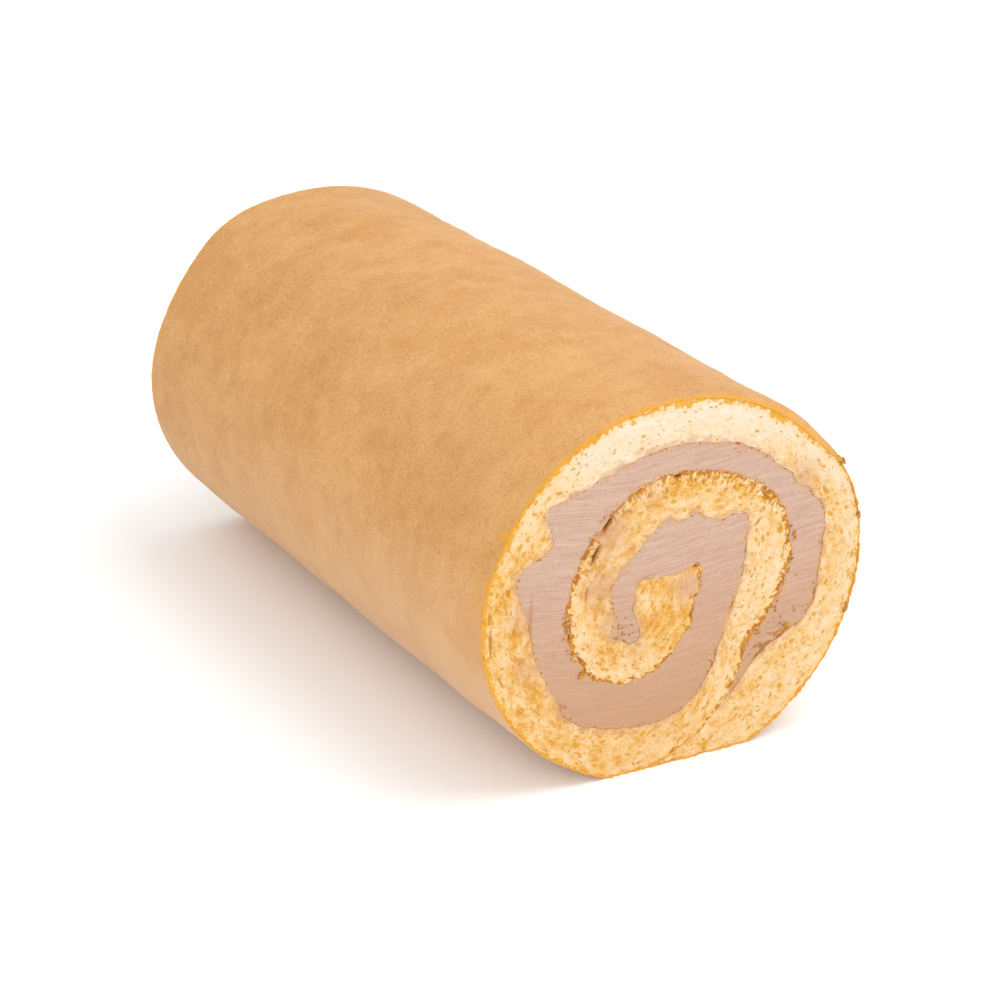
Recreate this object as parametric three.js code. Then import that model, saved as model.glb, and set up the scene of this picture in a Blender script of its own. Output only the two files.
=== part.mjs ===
// Swiss roll cake: one sponge sheet spread with cream and rolled up, cut square at both ends.
// Millimetres. Y runs along the roll, and the cut face at -Y is its front. X runs across it and
// +Z is up. The origin is under the middle of the roll, on the surface that it rests on.
//
// The section is a spiral round a centre line. "Turn" is an angle in degrees, clockwise as the
// front shows it, that starts at +X in the core and grows by 360 with each turn of the sheet.

import * as THREE from "three";

// Driving dimensions
const ROLL_LENGTH = 178;
const CENTRE_HEIGHT = 41.3; // centre of the spiral above the surface, set by the small flat spot
const SWELL = 0.012; // how much fuller the roll is at the middle of its length than at its ends
const GAP = 0.3; // clearance between sponge and cream, and along the seam
const SLICES = 5; // lengths that the roll is divided into, so that the swell is a curve
const OUTLINE_STEP = 1.8; // distance between outline points

// The spiral: browned outer side of the sheet, as [turn, distance from the centre]
const SKIN = [
  [-33, 7.7], [0, 6], [39, 6.4], [72, 10], [90, 13.5], [108, 19.4], [133, 24.8], // core
  [150, 27.1], [180, 27.5], [214, 26.6], [249, 27.9], [290, 28.1], [330, 31.1], // inner turn
  [356, 29.6], [389, 25.7], [403, 25.2], [416, 29], [437, 35], [461, 42.3], // dips under
  [472, 44.6], [486, 45.2], [503, 46.6], [538, 48.1], [572, 46.3], [628, 44.5], // outer turn
  [665, 45.1], [683, 46], [693, 47.8], [706, 48.5], [738, 47.2], [765, 46], // right flank
  [790, 45.4], [825, 45], // last stretch, down to the seam
];

// The creamed inner side of the same sheet, from the first bend to where it lies on the inner turn
const CREAMED = [
  [157, 18.4], [170, 15.8], [193, 17], [220, 15.6], [248, 16.2], [262, 18], [272, 16.6],
  [286, 18.2], [297, 17.9], [309, 19.1], [321, 23], [336, 19.7], [360, 17], [394, 16.2],
  [412, 18.9], [431, 24.4], [450, 29.5], [475, 33], [497, 36.8], [508, 35.9], [540, 37],
  [558, 41], [566, 35.6], [571, 36], [578, 40.6], [585, 38.5], [596, 35.6], [630, 34.3],
  [664, 35.6], [689, 37.2], [702, 40], [720, 37.5], [739, 37], [747, 34], [757, 30.6],
  [766, 29.5], [783, 31.5],
];
const CREAM_ENDS = 783; // turn at which the cream has thinned to nothing
const SHEET_ENDS = 817; // turn of the free end of the sheet, under the roll

// The thick first end of the sheet, from its tip over its end face and down round the tongue of
// cream in the first bend, as [x, height above the centre]
const TONGUE = [
  [5.5, 5.6], [1, 4.2], [-5, 4.8], [-9.6, 4], [-10.5, -2], [-8.8, -8], [-11.5, -9.8], [-14, -8.6],
];

const finish = {
  sponge: new THREE.MeshStandardMaterial({ color: 0xdba76c, roughness: 0.75, metalness: 0 }),
  cream: new THREE.MeshStandardMaterial({ color: 0xddb6a0, roughness: 0.6, metalness: 0 }),
};

/** Distance from the centre at a turn: a smooth curve through the stations. */
function distanceAt(stations, turn) {
  const last = stations.length - 1;
  let i = 0;
  while (i < last - 1 && stations[i + 1][0] < turn) i += 1;
  const slope = (k) => {
    const before = stations[Math.max(k - 1, 0)];
    const after = stations[Math.min(k + 1, last)];
    return (after[1] - before[1]) / (after[0] - before[0]);
  };
  const [t0, r0] = stations[i];
  const [t1, r1] = stations[i + 1];
  const width = t1 - t0;
  const u = Math.min(Math.max((turn - t0) / width, 0), 1);
  const rise = (r1 - r0) * (3 - 2 * u) * u * u;
  const lean = (slope(i) * (1 - u) ** 2 * u - slope(i + 1) * u * u * (1 - u)) * width;
  return r0 + rise + lean;
}

/** The point of the section at a turn and a distance from the centre. */
function pointAt(turn, distance) {
  const angle = THREE.MathUtils.degToRad(-turn);
  return new THREE.Vector2(distance * Math.cos(angle), distance * Math.sin(angle));
}

/** Points along one side of the sheet between two turns, about OUTLINE_STEP apart. */
function side(stations, from, to) {
  const points = [];
  let turn = from;
  while (turn < to) {
    const distance = distanceAt(stations, turn);
    points.push(pointAt(turn, distance));
    turn += THREE.MathUtils.radToDeg(OUTLINE_STEP / distance);
  }
  points.push(pointAt(to, distanceAt(stations, to)));
  return points;
}

/** The first end of the sheet as a smooth line, from its tip to the bottom of the tongue. */
function tongueLine() {
  const corners = TONGUE.map(([x, z]) => new THREE.Vector3(x, z, 0));
  const curve = new THREE.CatmullRomCurve3(corners, false, "centripetal");
  const count = Math.round(curve.getLength() / OUTLINE_STEP);
  return curve.getSpacedPoints(count).map((p) => new THREE.Vector2(p.x, p.y));
}

/** Moves a closed anticlockwise outline inwards, each point square to its neighbours. */
function drawIn(outline, distance) {
  const count = outline.length;
  return outline.map((point, i) => {
    const before = outline[(i + count - 1) % count];
    const after = outline[(i + 1) % count];
    const along = after.clone().sub(before).normalize();
    return new THREE.Vector2(point.x - along.y * distance, point.y + along.x * distance);
  });
}

/** Flattens an outline where it would reach below the surface that the roll rests on. */
function settle(outline) {
  return outline.map((p) => new THREE.Vector2(p.x, Math.max(p.y, -CENTRE_HEIGHT)));
}

/** The sheet's outline: back along the skin, over the first end, and out along the cream. */
function sheetOutline() {
  const skin = side(SKIN, SKIN[0][0], SHEET_ENDS);
  const creamed = side(CREAMED, CREAMED[0][0], CREAM_ENDS);
  const seam = side(SKIN, CREAM_ENDS - 360, SHEET_ENDS - 360).slice(1);
  return settle(drawIn([...skin.reverse(), ...tongueLine(), ...creamed, ...seam], GAP / 2));
}

/** The cream's outline: all that lies between the turns of the sheet. */
function creamOutline() {
  const inner = side(SKIN, SKIN[0][0], CREAM_ENDS - 360 - 3);
  const creamed = side(CREAMED, CREAMED[0][0], CREAM_ENDS - 3);
  return drawIn([...inner, ...creamed.reverse(), ...tongueLine().reverse()], GAP / 2);
}

/** One node: an outline carried along the roll, a little fuller in the middle of its length. */
function rolled(name, outline, material) {
  const shape = new THREE.Shape(outline);
  const options = { depth: ROLL_LENGTH, steps: SLICES, bevelEnabled: false };
  const geometry = new THREE.ExtrudeGeometry(shape, options);
  geometry.rotateX(Math.PI / 2);
  geometry.translate(0, ROLL_LENGTH / 2, CENTRE_HEIGHT);
  const place = geometry.getAttribute("position");
  for (let i = 0; i < place.count; i += 1) {
    const fromMiddle = place.getY(i) / (ROLL_LENGTH / 2);
    const fullness = 1 + SWELL * (1 - fromMiddle ** 2);
    place.setX(i, place.getX(i) * fullness);
    place.setZ(i, place.getZ(i) * fullness);
  }
  geometry.computeVertexNormals();
  const mesh = new THREE.Mesh(geometry, material);
  mesh.name = name;
  return mesh;
}

const group = new THREE.Group();
group.add(rolled("sponge_sheet", sheetOutline(), finish.sponge));
group.add(rolled("cream_filling", creamOutline(), finish.cream));

// The two flanks of the roll differ a little, so its middle is found and put over the origin
const box = new THREE.Box3().setFromObject(group);
group.position.x = -(box.min.x + box.max.x) / 2;
group.updateMatrixWorld(true);

export default group;
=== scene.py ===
"""Swiss roll cake: the looks of its crumb, browned skin and cream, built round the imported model.

Lengths are in millimetres until a mesh is made, and Blender's metres after that. Y runs along the
roll and its front cut face looks to -Y. The section is a spiral round a centre line: a "turn" is
an angle in degrees, clockwise as the front shows it, that starts at +X in the core and grows by
360 with each turn of the sheet.
"""

import logging
import math
from dataclasses import dataclass, field
from enum import Enum

import bpy
import numpy as np
from mathutils import Matrix, Vector

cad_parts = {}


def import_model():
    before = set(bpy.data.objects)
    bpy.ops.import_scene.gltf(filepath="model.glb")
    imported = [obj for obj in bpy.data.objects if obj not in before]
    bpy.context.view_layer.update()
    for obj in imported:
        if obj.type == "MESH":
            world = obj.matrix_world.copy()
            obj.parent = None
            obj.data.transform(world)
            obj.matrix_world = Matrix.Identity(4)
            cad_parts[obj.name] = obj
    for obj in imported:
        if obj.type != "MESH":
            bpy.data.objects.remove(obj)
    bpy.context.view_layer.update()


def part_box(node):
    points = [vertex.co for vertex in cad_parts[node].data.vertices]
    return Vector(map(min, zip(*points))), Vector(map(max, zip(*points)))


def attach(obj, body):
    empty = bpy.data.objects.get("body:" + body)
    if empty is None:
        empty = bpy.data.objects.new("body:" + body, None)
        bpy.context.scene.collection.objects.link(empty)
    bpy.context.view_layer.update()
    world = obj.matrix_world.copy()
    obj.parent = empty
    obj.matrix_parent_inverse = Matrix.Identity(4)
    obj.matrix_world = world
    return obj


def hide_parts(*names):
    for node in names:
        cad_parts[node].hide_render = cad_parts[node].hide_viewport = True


LOG = logging.getLogger("swiss_roll")
MM = 0.001
BODY = "root"
Reads = dict[str, bpy.types.NodeSocket]
ENDS_APART = 40.0  # how far from the middle each end reads its patterns, so that the two differ


class End(Enum):
    """The two cut ends of the roll, by the way that each looks along Y."""

    FRONT = -1
    BACK = 1


# ---------------------------------------------------------------- small tools


def linear(hex_colour: str) -> tuple[float, float, float, float]:
    """Turn an sRGB hex colour into the linear colour that a shader takes.

    Args:
        hex_colour: Six hex digits after a "#".

    Returns:
        Linear red, green, blue and an alpha of one.
    """
    channels = [int(hex_colour[i : i + 2], 16) / 255 for i in (1, 3, 5)]
    low = [c / 12.92 for c in channels]
    high = [((c + 0.055) / 1.055) ** 2.4 for c in channels]
    red, green, blue = (lo if c <= 0.04045 else hi for c, lo, hi in zip(channels, low, high))
    return red, green, blue, 1.0


def soft_step(value: np.ndarray, low: float, high: float) -> np.ndarray:
    """Rise smoothly from 0 to 1: 3u^2 - 2u^3, where u is how far value lies from low to high.

    Args:
        value: The values to map.
        low: Where the rise starts. It may be above high, and the step then falls.
        high: Where the rise ends.

    Returns:
        The mapped values, from 0 to 1.
    """
    u = np.clip((value - low) / (high - low), 0.0, 1.0)
    return u * u * (3.0 - 2.0 * u)


@dataclass(frozen=True)
class Ripple:
    """A seeded, smooth, uneven field in space, as a sum of plane waves."""

    seed: int
    size: float
    waves: int = 28
    stretch: tuple[float, float, float] = (1.0, 1.0, 1.0)

    def at(self, points: np.ndarray) -> np.ndarray:
        """Add up cos(2 pi p.d / length + phase) over random directions d and nearby lengths.

        Args:
            points: Places in millimetres, one row each.

        Returns:
            One value a place, about 0 with a spread of about 1.
        """
        rng = np.random.default_rng(self.seed)
        ways = rng.normal(size=(self.waves, 3))
        ways /= np.linalg.norm(ways, axis=1, keepdims=True)
        lengths = self.size * rng.uniform(0.7, 1.6, self.waves)
        phases = rng.uniform(0.0, 2.0 * math.pi, self.waves)
        scaled = points / np.array(self.stretch)
        angles = scaled @ (ways / lengths[:, None]).T * (2.0 * math.pi) + phases
        return np.cos(angles).sum(axis=1) * math.sqrt(2.0 / self.waves)


@dataclass(frozen=True)
class Pits:
    """Oval hollows in a flat face: centre, half length, half width, lean and depth of each."""

    rows: np.ndarray

    def at(self, x: np.ndarray, z: np.ndarray) -> tuple[np.ndarray, np.ndarray]:
        """Find how deep the pits reach at each place.

        Each pit is exp(-q^2), where q is the distance from its centre in half sizes along and
        across its lean. The deepest pit at a place counts.

        Args:
            x: Places across the roll.
            z: Places above the centre of the spiral.

        Returns:
            The depth in millimetres, and how far inside a pit each place lies, from 0 to 1.
        """
        depth = np.zeros_like(x)
        inside = np.zeros_like(x)
        for batch in np.array_split(self.rows, max(1, len(self.rows) // 40)):
            cx, cz, half_long, half_wide, lean, deep = batch.T[:, :, None]
            dx, dz = x - cx, z - cz
            along = (dx * np.cos(lean) + dz * np.sin(lean)) / half_long
            across = (dz * np.cos(lean) - dx * np.sin(lean)) / half_wide
            pit = np.exp(-np.minimum((along * along + across * across) ** 2, 30.0))
            depth = np.maximum(depth, (pit * deep).max(axis=0))
            inside = np.maximum(inside, pit.max(axis=0))
        return depth, inside


def in_space(flat: np.ndarray, end: End) -> np.ndarray:
    """Stand places of a cut face in space, well apart from those of the other end.

    Args:
        flat: Rows of x and z from the centre of the spiral.
        end: Which cut end.

    Returns:
        Rows of x, y and z, for a pattern to read.
    """
    return np.column_stack([flat[:, 0], np.full(len(flat), ENDS_APART * end.value), flat[:, 1]])


# ---------------------------------------------------------------- the section


@dataclass(frozen=True)
class Spiral:
    """The section of the roll, in millimetres from the centre of the spiral.

    The stations are pairs of turn and distance from the centre, and are those of the part.
    """

    skin: tuple[tuple[float, float], ...] = (
        (-33, 7.7), (0, 6), (39, 6.4), (72, 10), (90, 13.5), (108, 19.4), (133, 24.8),
        (150, 27.1), (180, 27.5), (214, 26.6), (249, 27.9), (290, 28.1), (330, 31.1),
        (356, 29.6), (389, 25.7), (403, 25.2), (416, 29), (437, 35), (461, 42.3),
        (472, 44.6), (486, 45.2), (503, 46.6), (538, 48.1), (572, 46.3), (628, 44.5),
        (665, 45.1), (683, 46), (693, 47.8), (706, 48.5), (738, 47.2), (765, 46),
        (790, 45.4), (825, 45),
    )
    creamed: tuple[tuple[float, float], ...] = (
        (157, 18.4), (170, 15.8), (193, 17), (220, 15.6), (248, 16.2), (262, 18), (272, 16.6),
        (286, 18.2), (297, 17.9), (309, 19.1), (321, 23), (336, 19.7), (360, 17), (394, 16.2),
        (412, 18.9), (431, 24.4), (450, 29.5), (475, 33), (497, 36.8), (508, 35.9), (540, 37),
        (558, 41), (566, 35.6), (571, 36), (578, 40.6), (585, 38.5), (596, 35.6), (630, 34.3),
        (664, 35.6), (689, 37.2), (702, 40), (720, 37.5), (739, 37), (747, 34), (757, 30.6),
        (766, 29.5), (783, 31.5),
    )
    tongue: tuple[tuple[float, float], ...] = (
        (5.5, 5.6), (1, 4.2), (-5, 4.8), (-9.6, 4), (-10.5, -2), (-8.8, -8), (-11.5, -9.8),
        (-14, -8.6), (-17, -7.2),
    )
    sheet_turns: tuple[float, float] = (-33.0, 817.0)
    tongue_turn: float = 157.0
    core_turn: float = 327.0
    cream_end: float = 783.0
    floor: float = -41.3
    side_shift: float = -0.202

    def distance(self, stations: tuple[tuple[float, float], ...], turn: np.ndarray) -> np.ndarray:
        """Follow a cubic through the stations, with the slope of the chord past each of them.

        Args:
            stations: Pairs of turn and distance.
            turn: The turns asked for, in degrees.

        Returns:
            The distance from the centre at each turn.
        """
        t, r = np.array(stations, dtype=float).T
        slope = np.gradient(r, t)
        slope[1:-1] = (r[2:] - r[:-2]) / (t[2:] - t[:-2])
        i = np.clip(np.searchsorted(t, turn) - 1, 0, len(t) - 2)
        width = t[i + 1] - t[i]
        u = np.clip((turn - t[i]) / width, 0.0, 1.0)
        rise = (r[i + 1] - r[i]) * (3.0 - 2.0 * u) * u * u
        lean = (slope[i] * (1.0 - u) ** 2 * u - slope[i + 1] * u * u * (1.0 - u)) * width
        return r[i] + rise + lean

    def place(self, turn: np.ndarray, distance: np.ndarray) -> np.ndarray:
        """Give the places at turns and distances from the centre, one row of x and z each."""
        angle = np.radians(-turn)
        return np.stack([distance * np.cos(angle), distance * np.sin(angle)], axis=-1)

    def skin_line(self, turn: np.ndarray, inset: float | np.ndarray = 0.0) -> np.ndarray:
        """Give the browned side of the sheet, moved towards the centre by an inset."""
        return self.place(turn, self.distance(self.skin, turn) - inset)

    def tongue_line(self, index: np.ndarray) -> np.ndarray:
        """Follow a smooth curve through the points round the tongue of cream.

        Args:
            index: Where on the curve, counted in points from its first.

        Returns:
            One row of x and z for each.
        """
        points = np.array(self.tongue)
        i = np.clip(index.astype(int), 0, len(points) - 2)
        u = (index - i)[:, None]
        before, after = points[np.maximum(i - 1, 0)], points[np.minimum(i + 2, len(points) - 1)]
        a, b = points[i], points[i + 1]
        bend = 2 * before - 5 * a + 4 * b - after
        twist = 3 * a - before - 3 * b + after
        return a + 0.5 * u * (b - before + u * (bend + u * twist))

    def sheet_inside(self, turn: np.ndarray) -> np.ndarray:
        """Give the creamed side of the sheet that faces the skin at each turn.

        Round the tongue it follows that curve, then the creamed stations, and past the cream's
        end it follows the skin of the turn inside it.

        Args:
            turn: The turns asked for.

        Returns:
            One row of x and z for each.
        """
        index = np.interp(turn, [-33, 60, 112, 140, 157], [3, 4.5, 6, 7, 8])
        line = self.tongue_line(index)
        later = turn > self.tongue_turn
        line[later] = self.place(turn, self.distance(self.creamed, turn))[later]
        last = turn > self.cream_end
        line[last] = self.skin_line(turn - 360.0)[last]
        return line

    def cream_inside(self, turn: np.ndarray) -> np.ndarray:
        """Give the inner side of the cream: the tongue, the sheet's first end, then the skin."""
        index = np.interp(turn, [150, 157, 180, 205, 248, 290, 327], [6, 5, 4, 3, 2, 1, 0])
        line = self.tongue_line(index)
        later = turn > self.core_turn
        line[later] = self.skin_line(turn - 360.0)[later]
        return line

    def cream_outside(self, turn: np.ndarray) -> np.ndarray:
        """Give the outer side of the cream: from the bottom of the tongue, then the sheet."""
        index = np.interp(turn, [150, 157], [6, 8])
        line = self.tongue_line(index)
        later = turn > self.tongue_turn
        line[later] = self.place(turn, self.distance(self.creamed, turn))[later]
        return line

    def evenly(self, first: float, last: float, spacing: float) -> np.ndarray:
        """Choose turns so that places on the skin, or the cream's outer side, are evenly spaced.

        Args:
            first: The turn to start from.
            last: The turn to end at.
            spacing: The distance between places along the curve.

        Returns:
            The turns, in order.
        """
        turn = np.linspace(first, last, 20000)
        middle = 0.5 * (self.skin_line(turn) + self.sheet_inside(turn))
        outer = np.linalg.norm(np.diff(self.skin_line(turn), axis=0), axis=1)
        inner = np.linalg.norm(np.diff(middle, axis=0), axis=1)
        run = np.concatenate([[0.0], np.cumsum(np.maximum(outer, inner))])
        count = int(run[-1] / spacing) + 1
        return np.interp(np.linspace(0.0, run[-1], count), run, turn)


# ---------------------------------------------------------------- meshes


@dataclass
class Loops:
    """Closed bodies, each made of closed loops of points that are carried along a path."""

    name: str
    points: np.ndarray
    attributes: dict[str, np.ndarray] = field(default_factory=dict)
    sharp_degrees: float = 55.0

    def make(self) -> bpy.types.Object:
        """Join each loop to the next with quads and close both ends with one face each.

        The points are numbered by body, then loop, then place round the loop.

        Returns:
            The new object, at the origin, with its faces pointing out.
        """
        bodies, steps, around, _ = self.points.shape
        index = np.arange(bodies * steps * around).reshape(bodies, steps, around)
        beside = np.roll(index, -1, axis=2)
        rows = (index[:, :-1], beside[:, :-1], beside[:, 1:], index[:, 1:])
        quads = np.stack(rows, axis=-1)
        faces = quads.reshape(-1, 4).tolist()
        faces += index[:, 0, ::-1].tolist() + index[:, -1].tolist()
        flat = self.points.reshape(-1, 3)
        if self.volume(flat, quads.reshape(-1, 4)) < 0:
            faces = [face[::-1] for face in faces]
        mesh = bpy.data.meshes.new(self.name)
        mesh.from_pydata((flat * MM).tolist(), [], faces)
        for name, values in self.attributes.items():
            single = values.size == len(flat)
            kind, key = ("FLOAT", "value") if single else ("FLOAT_VECTOR", "vector")
            layer = mesh.attributes.new(name, kind, "POINT")
            layer.data.foreach_set(key, values.reshape(-1).astype(np.float32))
        mesh.shade_smooth()
        mesh.set_sharp_from_angle(angle=math.radians(self.sharp_degrees))
        mesh.update()
        piece = bpy.data.objects.new(self.name, mesh)
        bpy.context.scene.collection.objects.link(piece)
        return piece

    @staticmethod
    def volume(points: np.ndarray, quads: np.ndarray) -> float:
        """Sum a.(b x c) / 3 over the quads' diagonals: its sign says which way they face."""
        a, b, c, d = (points[quads[:, k]] for k in range(4))
        return float(np.einsum("ij,ij->", a, np.cross(b, c) + np.cross(c, d)) / 6.0)


def add_node(
    tree: bpy.types.NodeTree,
    kind: str,
    inputs: dict | None = None,
    give: int | str = 0,
    stops: list[tuple[float, str]] | None = None,
    **settings: object,
) -> bpy.types.NodeSocket | None:
    """Add a node with its settings and links.

    Args:
        tree: The tree it goes in.
        kind: The node's type, without the leading "ShaderNode".
        inputs: Socket name or number to a value, or to the socket that feeds it. A colour mix
            takes its factor at 0 and its colours at 6 and 7, and gives its result at 2.
        give: The output to return.
        stops: For a colour ramp, its places and hex colours.
        **settings: The node's own properties.

    Returns:
        The output asked for, or None from a node that has none.
    """
    made = tree.nodes.new("ShaderNode" + kind)
    for name, value in settings.items():
        setattr(made, name, value)
    for name, value in (inputs or {}).items():
        if isinstance(value, bpy.types.NodeSocket):
            tree.links.new(value, made.inputs[name])
        else:
            made.inputs[name].default_value = value
    if stops:
        ramp = made.color_ramp.elements
        while len(ramp) < len(stops):
            ramp.new(0.5)
        for element, (position, colour) in zip(ramp, stops):
            element.position = position
            element.color = linear(colour)
    return made.outputs[give] if made.outputs else None


def blank_material(name: str) -> tuple[bpy.types.Material, bpy.types.NodeTree]:
    """Make a material with an empty node tree."""
    made = bpy.data.materials.new(name)
    made.use_nodes = True
    made.node_tree.nodes.clear()
    return made, made.node_tree


def millimetres(tree: bpy.types.NodeTree) -> bpy.types.NodeSocket:
    """Give the place on the object in millimetres."""
    place = add_node(tree, "TexCoord", give="Object")
    return add_node(tree, "VectorMath", {0: place, 1: (1 / MM,) * 3}, operation="MULTIPLY")


# ---------------------------------------------------------------- finishes


@dataclass(frozen=True)
class BakedCrumb:
    """Sponge crumb, baked and cut with a knife: pale, matt, full of small golden pores.

    Its patterns follow the sheet, so that pores lie along it, and stand across it where the knife
    pulled it open. The mesh carries the place in the sheet (run, depth, along), the distances
    from the skin and from the cream, and the shares of warmth with painted shade, pits, pull and
    cream film.
    """

    tones: tuple[tuple[float, str], ...] = (
        (0.0, "#E2D4C0"), (0.2, "#DFCAAE"), (0.5, "#DEC093"), (0.7, "#DAB278"),
        (0.85, "#D4A050"), (1.0, "#C88A3A"),
    )
    butter: str = "#E0B868"
    # Painted shade inside the pores, and inside the slots where the crumb is pulled open.
    pore_shade: str = "#CC921E"
    slot_shade: str = "#B6731C"
    gold: str = "#D49A2C"
    amber: str = "#BC7A26"
    # Rust is the crust of the inner turns, and also painted shade in the cracks; brown is painted
    # shade where the cracks are deepest.
    rust: str = "#A4601C"
    brown: str = "#74451F"
    film: str = "#C2987C"

    def holes(
        self,
        tree: bpy.types.NodeTree,
        place: bpy.types.NodeSocket,
        spacing: float,
        widest: float,
        open_share: bpy.types.NodeSocket,
    ) -> bpy.types.NodeSocket:
        """Open holes in some cells of a pattern.

        Args:
            tree: The tree the nodes go in.
            place: The place that the pattern reads, in millimetres.
            spacing: The distance between cells.
            widest: The half width of the widest hole, as a share of the spacing.
            open_share: How far the holes are open, from 0 to 1.

        Returns:
            The share of hole at each place, from 0 to 1.
        """
        cells = add_node(tree, "TexVoronoi", {"Vector": place, "Scale": 1 / spacing})
        pick = add_node(
            tree, "TexNoise", {"Vector": place, "Scale": 0.45 / spacing, "Detail": 1.0}
        )
        reach = add_node(
            tree, "MapRange",
            {"Value": pick, "From Min": 0.34, "From Max": 0.6, "To Min": 0.0, "To Max": widest},
        )
        reach = add_node(tree, "Math", {0: reach, 1: open_share}, operation="MULTIPLY")
        inside = add_node(tree, "Math", {0: reach, 1: cells}, operation="SUBTRACT")
        ragged = add_node(tree, "TexNoise", {"Vector": place, "Scale": 2.5 / spacing})
        inside = add_node(tree, "Math", {0: ragged, 1: 0.4, 2: inside}, operation="MULTIPLY_ADD")
        return add_node(tree, "MapRange", {"Value": inside, "From Min": 0.14, "From Max": 0.25})

    def readings(self, tree: bpy.types.NodeTree) -> Reads:
        """Read the fields that the mesh carries, and the noises that several patterns share.

        Args:
            tree: The tree the nodes go in.

        Returns:
            Each reading by name. "drawn" and "stood" are the place in the sheet, stretched so that
            patterns lie along the sheet or stand across it.
        """
        reads = {
            name: add_node(tree, "Attribute", attribute_name=name, give="Fac")
            for name in (
                "tone", "pit", "skin_mm", "cream_mm", "inner", "film", "crack", "pulled", "teeth"
            )
        }
        sheet = add_node(tree, "Attribute", attribute_name="sheet", give="Vector")
        drawn, stood = (
            add_node(tree, "VectorMath", {0: sheet, 1: stretch}, operation="MULTIPLY")
            for stretch in ((0.5, 1.0, 1.0), (1.0, 0.5, 1.0))
        )
        fine = add_node(tree, "TexNoise", {"Vector": sheet, "Scale": 1 / 0.45, "Detail": 1.0})
        middle = add_node(tree, "TexNoise", {"Vector": drawn, "Scale": 1 / 1.4, "Detail": 3.0})
        reads.update(sheet=sheet, drawn=drawn, stood=stood, fine=fine, middle=middle)
        return reads

    def baked(self, tree: bpy.types.NodeTree, reads: Reads) -> bpy.types.NodeSocket:
        """Colour the crumb by its warmth and painted shade: its tone, and patches 5, 1.4 and 0.45 mm
        wide.

        Args:
            tree: The tree the nodes go in.
            reads: The readings.

        Returns:
            The colour.
        """
        sheet, tone, middle = reads["sheet"], reads["tone"], reads["middle"]
        patch = add_node(tree, "TexNoise", {"Vector": sheet, "Scale": 1 / 5.0, "Detail": 2.0})
        warmth = add_node(tree, "Math", {0: patch, 1: 0.6, 2: -0.3}, operation="MULTIPLY_ADD")
        warmth = add_node(tree, "Math", {0: middle, 1: 0.9, 2: warmth}, operation="MULTIPLY_ADD")
        warmth = add_node(
            tree, "Math", {0: reads["fine"], 1: 0.6, 2: warmth}, operation="MULTIPLY_ADD"
        )
        warmth = add_node(tree, "Math", {0: warmth, 1: -0.72}, operation="ADD")
        swing = add_node(
            tree, "MapRange", {"Value": tone, "From Max": 0.6, "To Min": 0.3, "To Max": 1.0}
        )
        warmth = add_node(tree, "Math", {0: warmth, 1: swing, 2: tone}, operation="MULTIPLY_ADD")
        # Where the knife pulled the crumb open, painted highlights make the ridges whitish and
        # painted shade makes the gaps between them browner.
        painted_ridge_light = add_node(
            tree, "TexNoise", {"Vector": reads["stood"], "Scale": 1 / 0.55, "Detail": 2.0}
        )
        painted_ridge_light = add_node(tree, "Math", {0: painted_ridge_light, 1: 2.2, 2: -1.25}, operation="MULTIPLY_ADD")
        warmth = add_node(
            tree, "Math", {0: painted_ridge_light, 1: reads["pulled"], 2: warmth}, operation="MULTIPLY_ADD"
        )
        colour = add_node(tree, "ValToRGB", {"Fac": warmth}, stops=list(self.tones))
        # Buttery and warmer just under the crust of the outer turn.
        butter = add_node(
            tree, "MapRange",
            {"Value": reads["skin_mm"], "From Min": 2.4, "From Max": 0.3, "To Min": 0.0,
             "To Max": 0.75},
        )
        butter = add_node(tree, "Math", {0: butter, 1: middle}, operation="MULTIPLY")
        return add_node(
            tree, "Mix", {0: butter, 6: colour, 7: linear(self.butter)}, give=2, data_type="RGBA"
        )

    def pores(
        self, tree: bpy.types.NodeTree, reads: Reads
    ) -> tuple[bpy.types.NodeSocket, bpy.types.NodeSocket]:
        """Open the pores: pinholes, dashes and the mesh's own pits, and the slots. Their shares
        carry the painted shade inside the holes.

        Args:
            tree: The tree the nodes go in.
            reads: The readings.

        Returns:
            The share of pore, and of slot where the crumb is pulled open.
        """
        more = add_node(
            tree, "MapRange",
            {"Value": reads["tone"], "From Min": 0.1, "From Max": 0.55, "To Min": 0.6,
             "To Max": 1.0},
        )
        pinholes = self.holes(tree, reads["sheet"], 0.8, 0.36, more)
        pinholes = add_node(tree, "Math", {0: pinholes, 1: 0.5}, operation="MULTIPLY")
        dashes = self.holes(tree, reads["drawn"], 1.4, 0.29, more)
        dashes = add_node(tree, "Math", {0: dashes, 1: 0.9}, operation="MULTIPLY")
        slots = self.holes(tree, reads["stood"], 0.95, 0.42, reads["pulled"])
        slots = add_node(tree, "Math", {0: slots, 1: 0.85}, operation="MULTIPLY")
        pit = add_node(
            tree, "Math", {0: reads["fine"], 1: 0.9, 2: reads["pit"]}, operation="MULTIPLY_ADD"
        )
        pit = add_node(
            tree, "MapRange", {"Value": pit, "From Min": 0.75, "From Max": 1.1, "To Max": 0.85}
        )
        pores = add_node(tree, "Math", {0: pinholes, 1: dashes}, operation="MAXIMUM")
        pores = add_node(tree, "Math", {0: pores, 1: pit}, operation="MAXIMUM")
        return pores, slots

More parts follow.
